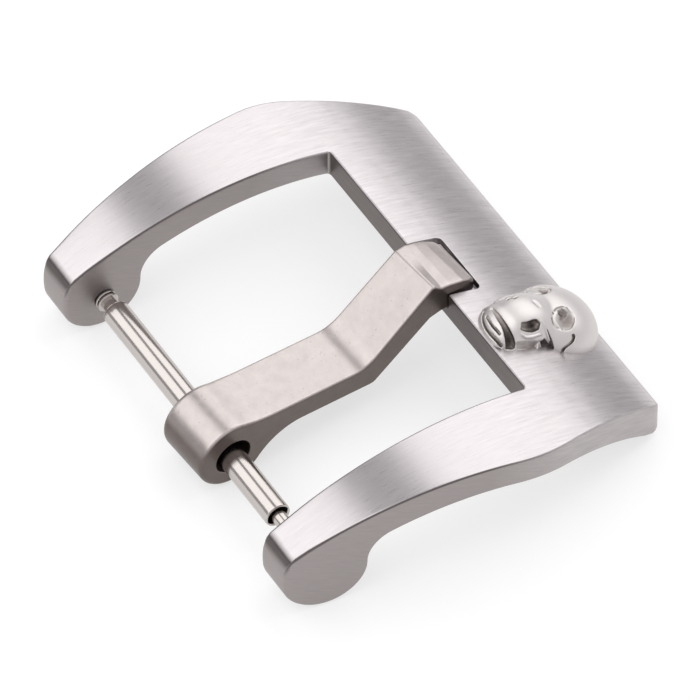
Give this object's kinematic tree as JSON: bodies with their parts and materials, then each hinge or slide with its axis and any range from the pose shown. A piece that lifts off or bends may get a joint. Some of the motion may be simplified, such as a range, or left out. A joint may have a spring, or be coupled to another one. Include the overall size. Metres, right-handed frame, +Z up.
{
  "type": "watch strap buckle",
  "caption": "Arched pin buckle frame with a kinked swinging tongue on a sprung cross bar and a small raised skull on the front bar.",
  "frame": {"origin": "on the spring bar's axis, in the middle of the gap between the two lugs", "axes": "+X along the spring bar towards the half of the front bar that carries the skull, +Y forward from the spring bar to the front bar, +Z up"},
  "size_m": [0.0346, 0.0283, 0.0079],
  "materials": {
    "brushed_frame": "stainless steel, brushed from front to back on the upper faces, semi-polished in the window",
    "cast_ornament": "cast stainless steel, bright, with darkened hollows",
    "satin_tongue": "cast stainless steel, satin, slightly warm",
    "polished_bar": "turned stainless steel tube, polished",
    "polished_pins": "turned stainless steel, polished",
    "spring_wire": "drawn spring steel wire"
  },
  "bodies": {
    "frame": {"buckle_frame": "brushed_frame", "skull_ornament": "cast_ornament"},
    "tongue": {"tongue": "satin_tongue"},
    "spring_bar": {"spring_bar_tube": "polished_bar", "spring_bar_coil": "spring_wire"},
    "left_pin": {"spring_bar_pin_left": "polished_pins"},
    "right_pin": {"spring_bar_pin_right": "polished_pins"}
  },
  "joints": [
    {"name": "tongue_hinge", "type": "hinge", "parent": "frame", "child": "tongue", "pos_m": [0, 0, 0], "axis": [1, 0, 0], "range_deg": [0, 150]},
    {"name": "spring_bar_turn", "type": "hinge", "parent": "frame", "child": "spring_bar", "pos_m": [0, 0, 0], "axis": [1, 0, 0], "continuous": true},
    {"name": "left_pin_slide", "type": "slide", "parent": "spring_bar", "child": "left_pin", "axis": [1, 0, 0], "range_m": [0, 0.00075], "stiffness_N_per_m": 400, "deforming": ["spring_bar_coil"]},
    {"name": "right_pin_slide", "type": "slide", "parent": "spring_bar", "child": "right_pin", "axis": [-1, 0, 0], "range_m": [0, 0.00075], "stiffness_N_per_m": 400, "deforming": ["spring_bar_coil"]}
  ]
}
